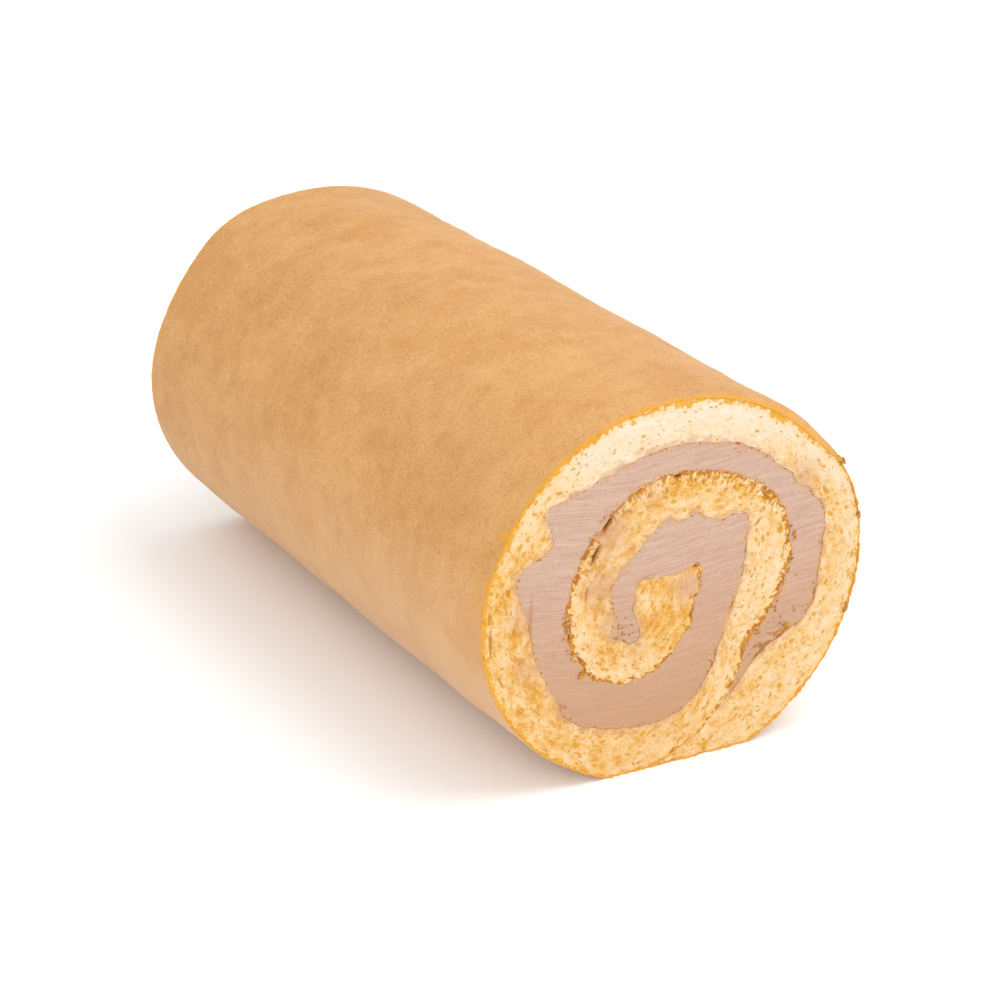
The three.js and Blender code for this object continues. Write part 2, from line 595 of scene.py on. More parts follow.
    def smeared(self, tree: bpy.types.NodeTree, reads: Reads) -> bpy.types.NodeSocket:
        """Spread the film of cream: the knife's drag, and a ragged fringe beside the cream.

        Args:
            tree: The tree the nodes go in.
            reads: The readings.

        Returns:
            The share of film.
        """
        fine, film = reads["fine"], reads["film"]
        fringe = add_node(
            tree, "Math", {0: reads["middle"], 1: 5.0, 2: -1.9}, operation="MULTIPLY_ADD"
        )
        fringe = add_node(tree, "Math", {0: fine, 1: 2.0, 2: fringe}, operation="MULTIPLY_ADD")
        fringe = add_node(tree, "Math", {0: fringe, 1: reads["cream_mm"]}, operation="SUBTRACT")
        fringe = add_node(
            tree, "MapRange", {"Value": fringe, "From Min": 0.3, "From Max": 1.7, "To Max": 0.65}
        )
        drag = add_node(tree, "Math", {0: film, 1: fine, 2: film}, operation="MULTIPLY_ADD")
        drag = add_node(
            tree, "MapRange", {"Value": drag, "From Min": 0.1, "From Max": 1.5, "To Max": 0.8}
        )
        return add_node(tree, "Math", {0: fringe, 1: drag}, operation="MAXIMUM")

    def crust(
        self, tree: bpy.types.NodeTree, reads: Reads
    ) -> tuple[bpy.types.NodeSocket, bpy.types.NodeSocket]:
        """Edge the sheet with crust: a ragged band about 0.5 mm wide, rustier on inner turns.

        Args:
            tree: The tree the nodes go in.
            reads: The readings.

        Returns:
            The share of crust, and its colour.
        """
        edge = add_node(
            tree, "TexNoise",
            {"Vector": reads["sheet"], "Scale": 1 / 1.1, "Detail": 3.0, "Roughness": 0.6},
        )
        band = add_node(
            tree, "Math", {0: edge, 1: 7.0, 2: reads["teeth"]}, operation="MULTIPLY_ADD"
        )
        band = add_node(tree, "Math", {0: band, 1: reads["skin_mm"]}, operation="SUBTRACT")
        band = add_node(
            tree, "MapRange", {"Value": band, "From Min": 2.8, "From Max": 3.3, "To Max": 0.95}
        )
        rind = add_node(
            tree, "Mix", {0: reads["inner"], 6: linear(self.gold), 7: linear(self.amber)},
            give=2, data_type="RGBA",
        )
        rust = add_node(
            tree, "MapRange",
            {"Value": reads["middle"], "From Min": 0.42, "From Max": 0.6, "To Max": 0.9},
        )
        rust = add_node(tree, "Math", {0: rust, 1: reads["inner"]}, operation="MULTIPLY")
        rind = add_node(
            tree, "Mix", {0: rust, 6: rind, 7: linear(self.rust)}, give=2, data_type="RGBA"
        )
        return band, rind

    def material(self) -> bpy.types.Material:
        """Build the material: crumb, painted shade of pores and slots, cream film, crust and painted
        shade in the cracks, in that order.
        """
        made, tree = blank_material("baked_crumb")
        reads = self.readings(tree)
        pores, slots = self.pores(tree, reads)
        band, rind = self.crust(tree, reads)
        # The cracks are coloured by their depth with painted shade: rust, then brown where deepest.
        crack = reads["crack"]
        deep = add_node(tree, "MapRange", {"Value": crack, "From Min": 0.6, "To Max": 0.9})
        colour = self.baked(tree, reads)
        for share, over in (
            (pores, linear(self.pore_shade)), (slots, linear(self.slot_shade)),
            (self.smeared(tree, reads), linear(self.film)), (band, rind),
            (crack, linear(self.rust)), (deep, linear(self.brown)),
        ):
            colour = add_node(
                tree, "Mix", {0: share, 6: colour, 7: over}, give=2, data_type="RGBA"
            )
        height = add_node(tree, "Math", {0: pores, 1: slots}, operation="MAXIMUM")
        height = add_node(tree, "Math", {0: reads["middle"], 1: height}, operation="SUBTRACT")
        bump = add_node(tree, "Bump", {"Height": height, "Strength": 0.5, "Distance": 0.35 * MM})
        shader = add_node(
            tree, "BsdfPrincipled",
            {"Base Color": colour, "Roughness": 0.85, "IOR": 1.4, "Specular IOR Level": 0.2,
             "Normal": bump, "Subsurface Weight": 0.12, "Subsurface Scale": 0.6 * MM,
             "Subsurface Radius": (1.0, 0.6, 0.3)},
        )
        add_node(tree, "OutputMaterial", {"Surface": shader})
        return made


@dataclass(frozen=True)
class BrownedSkin:
    """The browned outside of a baked sponge sheet: thin, matt, tan, with a fine even grain.

    The mesh carries the share of gold: 1 at the cut and where the skin is torn.
    """

    dark: str = "#B98246"
    tan: str = "#C8945A"
    light: str = "#D4A36A"
    # Painted bounce light on the lower skin, most towards the front.
    pale: str = "#D8B08A"
    orange: str = "#C2823F"
    speck: str = "#8B5A2A"
    gold: str = "#D8982E"

    def tanned(
        self, tree: bpy.types.NodeTree, place: bpy.types.NodeSocket, grain: bpy.types.NodeSocket
    ) -> bpy.types.NodeSocket:
        """Colour the skin: clouds 22 and 6 mm wide and the grain, with painted bounce light that
        makes it paler towards the floor and the front.

        Args:
            tree: The tree the nodes go in.
            place: The place in millimetres.
            grain: The noise of the grain.

        Returns:
            The colour.
        """
        broad = add_node(tree, "TexNoise", {"Vector": place, "Scale": 1 / 22, "Detail": 2.0})
        mottle = add_node(
            tree, "TexNoise", {"Vector": place, "Scale": 1 / 6, "Detail": 4.0, "Roughness": 0.6}
        )
        shade = add_node(tree, "Math", {0: broad, 1: 0.6, 2: -0.92}, operation="MULTIPLY_ADD")
        shade = add_node(tree, "Math", {0: mottle, 1: 0.8, 2: shade}, operation="MULTIPLY_ADD")
        shade = add_node(tree, "Math", {0: grain, 1: 1.5, 2: shade}, operation="MULTIPLY_ADD")
        colour = add_node(
            tree, "ValToRGB", {"Fac": shade},
            stops=[(0.12, self.dark), (0.5, self.tan), (0.88, self.light)],
        )
        height, along = (add_node(tree, "SeparateXYZ", {0: place}, give=axis) for axis in "ZY")
        # Painted bounce light: the skin is paler low down, most towards the front.
        low = add_node(
            tree, "MapRange",
            {"Value": height, "From Min": 56.0, "From Max": 14.0, "To Min": 0.0, "To Max": 0.8},
        )
        nearer = add_node(
            tree, "MapRange",
            {"Value": along, "From Min": 70.0, "From Max": -50.0, "To Min": 0.4, "To Max": 1.0},
        )
        low = add_node(tree, "Math", {0: low, 1: nearer}, operation="MULTIPLY")
        return add_node(
            tree, "Mix", {0: low, 6: colour, 7: linear(self.pale)}, give=2, data_type="RGBA"
        )

    def specks(
        self, tree: bpy.types.NodeTree, place: bpy.types.NodeSocket
    ) -> bpy.types.NodeSocket:
        """Scatter dark specks about 4 mm apart and give the share of speck."""
        cells = add_node(tree, "TexVoronoi", {"Vector": place, "Scale": 1 / 4.2})
        return add_node(
            tree, "MapRange",
            {"Value": cells, "From Min": 0.04, "From Max": 0.08, "To Min": 0.5, "To Max": 0.0},
        )

    def warmed(
        self, tree: bpy.types.NodeTree, place: bpy.types.NodeSocket
    ) -> bpy.types.NodeSocket:
        """Give the share of a warmer orange, in patches about 15 mm wide."""
        warm = add_node(tree, "TexNoise", {"Vector": place, "Scale": 1 / 15, "Detail": 3.0})
        return add_node(
            tree, "MapRange", {"Value": warm, "From Min": 0.55, "From Max": 0.75, "To Max": 0.3}
        )

    def gilded(
        self, tree: bpy.types.NodeTree, place: bpy.types.NodeSocket
    ) -> bpy.types.NodeSocket:
        """Give the share of gold, which shows first as flecks about 1 mm apart."""
        gold = add_node(tree, "Attribute", attribute_name="gold", give="Fac")
        fleck = add_node(
            tree, "TexNoise", {"Vector": place, "Scale": 1 / 1.0, "Detail": 3.0, "Roughness": 0.7}
        )
        gold = add_node(tree, "Math", {0: fleck, 1: 1.6, 2: gold}, operation="MULTIPLY_ADD")
        return add_node(
            tree, "MapRange", {"Value": gold, "From Min": 1.05, "From Max": 1.45, "To Max": 0.9}
        )

    def material(self) -> bpy.types.Material:
        """Build the material. The grain breaks up the light like the nap of fine suede."""
        made, tree = blank_material("browned_sponge_skin")
        place = millimetres(tree)
        grain = add_node(
            tree, "TexNoise", {"Vector": place, "Scale": 1 / 0.7, "Detail": 3.0, "Roughness": 0.7}
        )
        colour = self.tanned(tree, place, grain)
        for share, over in (
            (self.warmed(tree, place), self.orange), (self.specks(tree, place), self.speck),
            (self.gilded(tree, place), self.gold),
        ):
            colour = add_node(
                tree, "Mix", {0: share, 6: colour, 7: linear(over)}, give=2, data_type="RGBA"
            )
        bump = add_node(tree, "Bump", {"Height": grain, "Strength": 0.4, "Distance": 0.25 * MM})
        shader = add_node(
            tree, "BsdfPrincipled",
            {"Base Color": colour, "Roughness": 0.7, "IOR": 1.4, "Specular IOR Level": 0.25,
             "Normal": bump, "Sheen Weight": 0.08, "Sheen Roughness": 0.4,
             "Subsurface Weight": 0.05, "Subsurface Scale": 1.0 * MM,
             "Subsurface Radius": (1.0, 0.5, 0.25)},
        )
        add_node(tree, "OutputMaterial", {"Surface": shader})
        return made


@dataclass(frozen=True)
class ToastedCrumb:
    """Small crumbs with some crust on them: matt, from straw to toasted brown."""

    tones: tuple[tuple[float, str], ...] = (
        (0.3, "#7C481A"), (0.45, "#B07024"), (0.6, "#CC9844"), (0.78, "#DFC090"),
    )

    def material(self) -> bpy.types.Material:
        """Build the material. Its tone changes over about 1 mm, from crumb to crumb."""
        made, tree = blank_material("toasted_crumb")
        place = millimetres(tree)
        tone = add_node(
            tree, "TexNoise", {"Vector": place, "Scale": 1 / 0.9, "Detail": 3.0, "Roughness": 0.7}
        )
        colour = add_node(tree, "ValToRGB", {"Fac": tone}, stops=list(self.tones))
        shader = add_node(
            tree, "BsdfPrincipled",
            {"Base Color": colour, "Roughness": 0.85, "IOR": 1.4, "Specular IOR Level": 0.2},
        )
        add_node(tree, "OutputMaterial", {"Surface": shader})
        return made


@dataclass(frozen=True)
class WhippedCream:
    """Flavoured buttercream, whipped and cut with a knife: smooth, pinkish brown, softly lit.

    The mesh carries the distances from the sheet's creamed side and from its skin, and the
    share of crumbs mixed in.
    """

    high: str = "#C7AA98"
    # The browner colour low down is painted shade.
    low: str = "#BE946F"
    streak: str = "#AE8670"
    fleck: str = "#9A6230"
    edge: str = "#C8985F"

    def readings(self, tree: bpy.types.NodeTree) -> Reads:
        """Read the fields that the mesh carries, the place, and the noises that are shared.

        Args:
            tree: The tree the nodes go in.

        Returns:
            Each reading by name. "streaks" is the noise of the fine lines that the knife draws.
        """
        reads = {
            name: add_node(tree, "Attribute", attribute_name=name, give="Fac")
            for name in ("sheet_mm", "crumbly", "crack")
        }
        place = millimetres(tree)
        drag = add_node(tree, "Attribute", attribute_name="drag", give="Vector")
        drawn = add_node(
            tree, "VectorMath", {0: drag, 1: (0.1, 1.0, 2.2)}, operation="MULTIPLY"
        )
        streaks = add_node(
            tree, "TexNoise", {"Vector": drawn, "Scale": 1.0, "Detail": 4.0, "Distortion": 0.9}
        )
        speckle = add_node(tree, "TexNoise", {"Vector": place, "Scale": 1 / 0.5, "Detail": 1.0})
        patch = add_node(tree, "TexNoise", {"Vector": place, "Scale": 1 / 1.2, "Detail": 4.0})
        reads.update(place=place, streaks=streaks, speckle=speckle, patch=patch)
        return reads

    def whipped(self, tree: bpy.types.NodeTree, reads: Reads) -> bpy.types.NodeSocket:
        """Colour the cream, a little browner towards the floor: painted shade low down."""
        height = add_node(tree, "SeparateXYZ", {0: reads["place"]}, give="Z")
        high = add_node(tree, "MapRange", {"Value": height, "From Min": 14.0, "From Max": 54.0})
        return add_node(
            tree, "Mix", {0: high, 6: linear(self.low), 7: linear(self.high)}, give=2,
            data_type="RGBA",
        )

    def streaked(self, tree: bpy.types.NodeTree, reads: Reads) -> bpy.types.NodeSocket:
        """Give the share of streak, with fine speckles 0.5 mm wide in it."""
        share = add_node(
            tree, "Math", {0: reads["speckle"], 1: 0.35, 2: reads["streaks"]},
            operation="MULTIPLY_ADD",
        )
        return add_node(
            tree, "MapRange",
            {"Value": share, "From Min": 0.46, "From Max": 0.92, "To Max": 0.8},
        )

    def fringed(self, tree: bpy.types.NodeTree, reads: Reads) -> bpy.types.NodeSocket:
        """Give the share of crumb dust: ragged at the sheet, and where crumbs are mixed in."""
        fringe = add_node(
            tree, "Math", {0: reads["patch"], 1: 7.0, 2: -3.0}, operation="MULTIPLY_ADD"
        )
        fringe = add_node(tree, "Math", {0: fringe, 1: reads["crumbly"]}, operation="ADD")
        fringe = add_node(tree, "Math", {0: fringe, 1: reads["sheet_mm"]}, operation="SUBTRACT")
        return add_node(
            tree, "MapRange", {"Value": fringe, "From Min": -0.3, "From Max": 0.6, "To Max": 0.8}
        )

    def flecks(self, tree: bpy.types.NodeTree, reads: Reads) -> bpy.types.NodeSocket:
        """Give the share of fleck, from cells about 1 mm apart.

        More cells are open at the sheet and where crumbs are mixed in. The speckles make their
        outlines ragged.

        Args:
            tree: The tree the nodes go in.
            reads: The readings.

        Returns:
            The share of fleck.
        """
        cells = add_node(tree, "TexVoronoi", {"Vector": reads["place"], "Scale": 1 / 1.1})
        near = add_node(
            tree, "MapRange",
            {"Value": reads["sheet_mm"], "From Min": 0.2, "From Max": 1.4, "To Min": 0.3,
             "To Max": 0.0},
        )
        near = add_node(
            tree, "Math", {0: reads["crumbly"], 1: 0.36, 2: near}, operation="MULTIPLY_ADD"
        )
        opening = add_node(
            tree, "MapRange",
            {"Value": reads["patch"], "From Min": 0.4, "From Max": 0.75, "To Min": -0.1,
             "To Max": 0.2},
        )
        opening = add_node(tree, "Math", {0: opening, 1: near}, operation="ADD")
        opening = add_node(
            tree, "Math", {0: reads["speckle"], 1: 0.6, 2: opening}, operation="MULTIPLY_ADD"
        )
        opening = add_node(tree, "Math", {0: opening, 1: -0.3}, operation="ADD")
        cells = add_node(tree, "Math", {0: opening, 1: cells}, operation="SUBTRACT")
        return add_node(
            tree, "MapRange", {"Value": cells, "From Min": -0.06, "From Max": 0.1, "To Max": 0.75}
        )

    def material(self) -> bpy.types.Material:
        """Build the material: cream, streaks, crumb dust, flecks and painted shade in the cracks, in
        that order.
        """
        made, tree = blank_material("whipped_cream")
        reads = self.readings(tree)
        flecks = self.flecks(tree, reads)
        colour = self.whipped(tree, reads)
        # The cracks take the fleck colour by their depth, as painted shade.
        for share, over in (
            (self.streaked(tree, reads), self.streak), (self.fringed(tree, reads), self.edge),
            (flecks, self.fleck), (reads["crack"], self.fleck),
        ):
            colour = add_node(
                tree, "Mix", {0: share, 6: colour, 7: linear(over)}, give=2, data_type="RGBA"
            )
        relief = add_node(tree, "Math", {0: reads["streaks"], 1: flecks}, operation="SUBTRACT")
        bump = add_node(tree, "Bump", {"Height": relief, "Strength": 0.4, "Distance": 0.25 * MM})
        shader = add_node(
            tree, "BsdfPrincipled",
            {"Base Color": colour, "Roughness": 0.6, "IOR": 1.45, "Specular IOR Level": 0.25,
             "Normal": bump, "Subsurface Weight": 0.15, "Subsurface Scale": 1.0 * MM,
             "Subsurface Radius": (1.0, 0.7, 0.5)},
        )
        add_node(tree, "OutputMaterial", {"Surface": shader})
        return made


# ---------------------------------------------------------------- pieces


@dataclass(frozen=True)
class Spots:
    """Round soft spots in the section: x and z of the centre, radius and strength of each."""

    rows: tuple[tuple[float, float, float, float], ...]

    def at(self, flat: np.ndarray) -> np.ndarray:
        """Add up strength times exp(-(distance / radius)^2) at each place."""
        x, z, radius, strength = np.array(self.rows).T
        away = np.hypot(flat[:, :1] - x, flat[:, 1:] - z) / radius
        return (np.exp(-away * away) * strength).sum(axis=1)


@dataclass
class Roll:
    """Sizes that the pieces share, and the bulges of the skin (see bulge)."""

    length: float
    spiral: Spiral = field(default_factory=Spiral)
    swell: float = 0.012
    bulges: tuple[tuple[float, float, float, float, float], ...] = (
        (676.0, 24.0, -89.0, 28.0, 1.8), (597.0, 17.0, 89.0, 40.0, 1.5),
    )
    curl: float = 3.0

    def stand(
        self, section: np.ndarray, along: np.ndarray, lift: float | np.ndarray = 0.02
    ) -> np.ndarray:
        """Carry places of the section to their places in the roll.

        The roll is fuller by 1 + swell (1 - v^2), where v is 0 at the middle of its length and
        1 at a cut end. It is then moved so that its flat spot is on the floor.

        Args:
            section: Rows of x and z from the centre of the spiral.
            along: The place along the roll of each row.
            lift: How far above the floor a place must stay.

        Returns:
            Rows of x, y and z in the frame of the part.
        """
        v = along / (self.length / 2)
        fuller = 1.0 + self.swell * (1.0 - v * v)
        x = section[..., 0] * fuller + self.spiral.side_shift
        z = (section[..., 1] - self.spiral.floor) * fuller
        return np.stack([x, along, np.maximum(z, lift)], axis=-1)

    def bulge(self, turn: np.ndarray, along: np.ndarray) -> np.ndarray:
        """Work out how much fuller the skin is than the even roll.

        Each bulge is a bell over turn and over the length, given by its turn, its width in
        degrees, its place along the roll, its reach and its height. At the front cut the knife
        pulled the rim in: there it starts from nothing, over the length of the curl.

        Args:
            turn: The turns.
            along: The places along the roll.

        Returns:
            The distance outwards, in millimetres.
        """
        out = np.zeros_like(along)
        for middle, width, place, reach, height in self.bulges:
            around = np.exp(-(((turn - middle) / width) ** 2))
            out += height * around * np.exp(-(((along - place) / reach) ** 2))
        return out * soft_step(self.length / 2 + along, 0.2, self.curl)

    def roughen(self, flat: np.ndarray, end: End) -> np.ndarray:
        """Shift places of a cut face a little, so that its borders wander as torn crumb does.

        Crumb and cream are shifted alike, so they stay together. The shift fades out under the
        outer skin.

        Args:
            flat: Rows of x and z from the centre of the spiral.
            end: Which cut end.

        Returns:
            The shifted places.
        """
        solid = in_space(flat, end)
        shift = [
            0.16 * Ripple(seed, 4.4).at(solid) + 0.06 * Ripple(seed + 1, 1.4).at(solid)
            for seed in (101, 103)
        ]
        clockwise = np.degrees(np.arctan2(-flat[:, 1], flat[:, 0]))
        turn = 457.0 + (clockwise - 457.0) % 360.0
        rim = self.spiral.distance(self.spiral.skin, turn)
        inside = soft_step(rim - np.hypot(flat[:, 0], flat[:, 1]), 0.6, 4.0)
        return flat + np.stack(shift, axis=1) * inside[:, None]


def wrap(
    front: np.ndarray, back: np.ndarray, steps: tuple[float, ...] = (0.04, 0.3, 0.7, 0.96)
) -> np.ndarray:
    """Close a front row and a back row of values into one loop, with rows along the roll between.

    Args:
        front: The values over the front face, by step along the sheet and place across it.
        back: The same for the back face.
        steps: How far along the roll the rows between lie, from 0 to 1.

    Returns:
        The values of the whole loop, by step.
    """
    shape = (1, len(steps)) + (1,) * (front.ndim - 2)
    share = np.array(steps).reshape(shape)
    last = front[:, -1:] + (back[:, -1:] - front[:, -1:]) * share
    first = back[:, :1] + (front[:, :1] - back[:, :1]) * share
    return np.concatenate([front, last, back[:, ::-1], first], axis=1)


def dress(piece: bpy.types.Object, finish: object, node: str) -> bpy.types.Object:
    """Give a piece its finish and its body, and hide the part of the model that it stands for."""
    piece.data.materials.append(finish.material())
    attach(piece, BODY)
    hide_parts(node)
    return piece


@dataclass
class Crumb:
    """The sheet of sponge inside its skin, cut at both ends.

    Warmth and shade gives the crumb's tone by turn, at the skin and at the cream. It is partly the
    crumb's own tone and partly painted shade: palest on top of the outer turn, warmer down its
    sides.
    Rind gives by turn how much thinner the crust is than usual. Film is where the knife dragged
    cream over the crumb, and teeth are where the crust reaches further in. Torn places and cracks
    are rows of Pits.
    """

    roll: Roll
    spacing: float = 0.42
    across: int = 30
    skin_depth: float = 0.45
    # Turn, tone at the skin and tone at the cream: partly own tone, partly painted shade, palest on
    # top of the outer turn.
    warmth: tuple[tuple[float, float, float], ...] = (
        (-33, 0.84, 0.74), (20, 0.7, 0.66), (60, 0.84, 0.8), (110, 0.54, 0.64),
        (150, 0.44, 0.74), (190, 0.5, 0.74), (220, 0.78, 0.74), (260, 0.84, 0.6), (310, 0.78, 0.58),
        (335, 0.6, 0.52), (360, 0.38, 0.52), (400, 0.48, 0.58), (440, 0.62, 0.66),
        (530, 0.64, 0.75), (560, 0.58, 0.78), (580, 0.38, 0.56), (600, 0.16, 0.22),
        (655, 0.1, 0.24), (685, 0.24, 0.6), (715, 0.44, 0.64), (740, 0.46, 0.58),
        (817, 0.58, 0.64),
    )
    film: Spots = Spots((
        (-18, 18, 6, 0.9), (-6, 24, 3.5, 0.4), (3.5, 0.5, 4, 1.0), (17, 14, 2.2, 0.5),
        (32, 20, 4.5, 0.8), (-38, 2, 4, 0.6), (-37, -10, 4, 0.6), (-17, -4, 3, 0.7),
        (24, -15, 3, 0.4), (36.5, 6, 3, 0.6), (-10, -12, 3, 0.4), (-19, 5, 4.5, 0.8),
    ))
    teeth: Spots = Spots((
        (-21, 39.5, 1.2, 2.5), (-11, 41, 0.7, 1.5), (-4.5, 42, 0.6, 1.2), (3, 42.5, 0.8, 2.0),
        (19, 38.5, 0.5, 1.5), (25.5, 35.5, 1.6, 1.8), (-43, 13, 0.9, 1.5), (-17, 20, 1.2, 1.8),
        (27, 21, 1.4, 1.5),
    ))
    torn: tuple[tuple[float, float, float, float, float, float], ...] = (
        (-46.0, 3.5, 1.6, 0.35, 1.5, 0.5), (-45.8, -2.5, 3.4, 0.42, 1.6, 0.7),
        (-43.4, -12, 2.0, 0.35, 2.0, 0.5), (-41.5, 8.5, 0.9, 0.5, 1.6, 0.6),
        (-40.2, -1.0, 1.6, 0.5, 1.6, 0.6), (-18.6, 18.6, 2.2, 0.6, 1.0, 0.8),
        (27.0, 9.0, 1.2, 0.7, 1.3, 0.7), (26.5, 20.5, 1.6, 0.6, 1.2, 0.7),
        (21.0, 12.0, 1.5, 0.35, 0.7, 0.5), (38.5, 16.0, 1.4, 0.5, -1.1, 0.5),
        (-28.5, 24.5, 1.2, 0.4, 0.3, 0.5), (-16.0, -25.0, 2.2, 0.5, -0.6, 0.7),
    )
    cracks: tuple[tuple[float, float, float, float, float, float], ...] = (
        (-13.8, 23.3, 2.6, 0.45, 0.8, 0.9), (-9.4, 26.0, 1.2, 0.4, 0.5, 0.8),
        (0.5, 27.0, 1.0, 0.5, 0.0, 0.7), (30.0, 7.0, 1.3, 0.6, 1.4, 0.8),
        (27.2, -5.0, 2.2, 0.25, 1.25, 0.4), (24.4, -10.5, 3.0, 0.28, 1.1, 0.45),
        (21.6, -16.0, 2.4, 0.28, 1.0, 0.4), (-21.3, -17.5, 2.4, 0.32, -1.05, 0.4),
        (14.6, -6.0, 3.2, 0.45, 1.15, 0.55), (43.0, 21.5, 1.2, 0.4, -0.9, 0.4),
        (-26.6, -2.0, 2.2, 0.5, 1.5, 0.5), (-24.0, -11.5, 2.2, 0.4, 2.0, 0.45),
        (-17.0, 19.2, 2.4, 0.45, 0.95, 0.8), (-20.0, 12.8, 2.4, 0.5, 1.15, 0.8),
        (-22.3, 4.0, 2.0, 0.35, 1.4, 0.5), (-4.5, 27.4, 1.4, 0.35, 0.2, 0.6),
        (22.5, 18.5, 1.8, 0.3, -0.9, 0.4),
    )
    rind: tuple[tuple[float, float], ...] = (
        (-33, -0.1), (60, -0.1), (140, -0.2), (165, -0.6), (200, -0.2), (325, -0.1), (345, -0.5),
        (400, -0.8), (420, -0.4),
        (440, 0.2), (480, 0.3),
        (560, 0.1), (580, 0.0), (665, 0.0), (700, 0.5), (817, 0.5),
    )

    def strip(self, end: End) -> tuple[np.ndarray, np.ndarray, np.ndarray]:
        """Lay a grid over the cut sheet, along it by turn and across it from skin to cream.

        Each row of the grid is the straight line from the skin to the creamed side. Near the
        sheet's first end the rows bulge to the curve of its end face.

        Args:
            end: Which cut end.

        Returns:
            The grid of x and z, the turns, and the shares of the way across.
        """
        spiral = self.roll.spiral
        turn = spiral.evenly(*spiral.sheet_turns, self.spacing)
        share = np.linspace(0.0, 1.0, self.across)
        share = 0.75 * share + 0.25 * share * share
        cut = np.full_like(turn, end.value * self.roll.length / 2)
        inset = self.skin_depth * soft_step(turn, 430.0, 470.0) - self.roll.bulge(turn, cut)
        skin = spiral.skin_line(turn, inset)
        cream = spiral.sheet_inside(turn)
        grid = skin[:, None] + (cream - skin)[:, None] * share[None, :, None]
        face = spiral.tongue_line(share * 3.0)
        away = np.concatenate([[0.0], np.cumsum(np.linalg.norm(np.diff(skin, axis=0), axis=1))])
        bulge = (face - grid[0])[None] * np.exp(-away / 3.0)[:, None, None]
        bulge *= ((4.0 * share * (1.0 - share)) ** 0.25)[None, :, None]
        return grid + bulge, turn, share

    def pits(self, grid: np.ndarray, turn: np.ndarray, seed: int) -> Pits:
        """Scatter pores over the cut sheet, more and larger ones on the inner turn.

        On top of the inner turn they stand across the sheet, as the knife pulled them open.

        Args:
            grid: The grid of places.
            turn: The turn of each of its rows.
            seed: The seed of the draw.

        Returns:
            The pits, with the torn places first.
        """
        rng = np.random.default_rng(seed)
        count, pulled = 300, 60
        row = rng.integers(2, len(turn) - 2, count)
        column = rng.integers(1, self.across - 2, count)
        centre = grid[row, column] + rng.normal(0.0, 0.3, (count, 2))
        ahead = grid[row + 1, column] - grid[row, column]
        lean = np.arctan2(ahead[:, 1], ahead[:, 0]) + rng.normal(0.0, 0.4, count)
        pale = (turn[row] > 590) & (turn[row] < 680)
        half_wide = 0.2 + rng.gamma(2.0, 0.03, count)
        half_long = half_wide * rng.uniform(1.2, 2.6, count)
        deep = half_wide * rng.uniform(0.4, 1.1, count) * np.where(pale, 0.3, 1.0)
        row[:pulled] = np.searchsorted(turn, rng.uniform(200.0, 345.0, pulled))
        column[:pulled] = (self.across * rng.uniform(0.05, 0.45, pulled)).astype(int)
        centre[:pulled] = grid[row[:pulled], column[:pulled]]
        outwards = grid[row[:pulled], 0] - grid[row[:pulled], -1]
        lean[:pulled] = np.arctan2(outwards[:, 1], outwards[:, 0])
        lean[:pulled] += rng.normal(0.0, 0.25, pulled)
        half_wide[:pulled] = rng.uniform(0.24, 0.4, pulled)
        half_long[:pulled] = rng.uniform(0.4, 1.0, pulled)
        deep[:pulled] = rng.uniform(0.25, 0.6, pulled)
        drawn = np.stack([*centre.T, half_long, half_wide, lean, deep], axis=1)
        return Pits(np.concatenate([np.array(self.torn), drawn]))

    @staticmethod
    def pulled(turns: np.ndarray, skin_mm: np.ndarray) -> np.ndarray:
        """Say how far the knife pulled the crumb open: on top of the inner turn, by its skin."""
        over = soft_step(turns, 195.0, 225.0) * soft_step(turns, 350.0, 325.0)
        return over * soft_step(skin_mm, 4.5, 1.5)

    def face(self, end: End) -> dict[str, np.ndarray]:
        """Work out the relief and the colour fields of one cut face.

        Args:
            end: Which cut end.

        Returns:
            Each field by name, and under "points" the places of the grid in the roll.
        """
        grid, turn, share = self.strip(end)
        shape = grid.shape[:2]
        thick = np.linalg.norm(grid[:, -1] - grid[:, 0], axis=1)
        skin_mm = (thick[:, None] * share[None]).reshape(-1)
        cream_mm = (thick[:, None] * (1.0 - share[None])).reshape(-1)
        turns = np.repeat(turn, len(share))
        flat = self.roll.roughen(grid.reshape(-1, 2), end)
        solid = in_space(flat, end)
        seed = 11 if end is End.FRONT else 57
        pit_depth, pit = self.pits(grid, turn, seed).at(flat[:, 0], flat[:, 1])
        # The crack depth also sets the painted shade in the cracks.
        crack_depth, _ = Pits(np.array(self.cracks)).at(flat[:, 0], flat[:, 1])
        run = np.repeat(np.arange(len(turn)) * self.spacing, len(share))
        uneven = 0.05 * Ripple(seed + 1, 1.3).at(solid) + 0.07 * Ripple(seed + 2, 4.0).at(solid)
        # The tone by turn is partly painted shade, palest on top of the outer turn.
        known, *tones = np.array(self.warmth).T
        at_skin, at_cream = (np.interp(turns, known, side) for side in tones)
        shares = np.tile(share, len(turn))
        inwards = 0.22 + uneven + pit_depth + crack_depth
        inwards = inwards - 0.08 * soft_step(cream_mm, 0.8, 0.0)
        along = end.value * (self.roll.length / 2 - inwards)
        fields = {
            "points": self.roll.stand(flat, along, self.skin_depth),
            "sheet": np.column_stack([run, skin_mm, solid[:, 1]]),
            "tone": at_skin + (at_cream - at_skin) * soft_step(shares, 0.1, 0.75),
            "pit": pit * np.interp(turns, [590, 610, 670, 700], [0.85, 0.4, 0.4, 0.85]),
            "crack": np.minimum(crack_depth / 0.75, 1.0),
            "skin_mm": skin_mm + np.interp(turns, *np.array(self.rind).T),
            "cream_mm": cream_mm + 20.0 * (turns > 790),
            "inner": soft_step(turns, 480.0, 430.0),
            "film": self.film.at(flat),
            "pulled": self.pulled(turns, skin_mm),
            "teeth": self.teeth.at(flat),
        }
        return {name: value.reshape(*shape, *value.shape[1:]) for name, value in fields.items()}

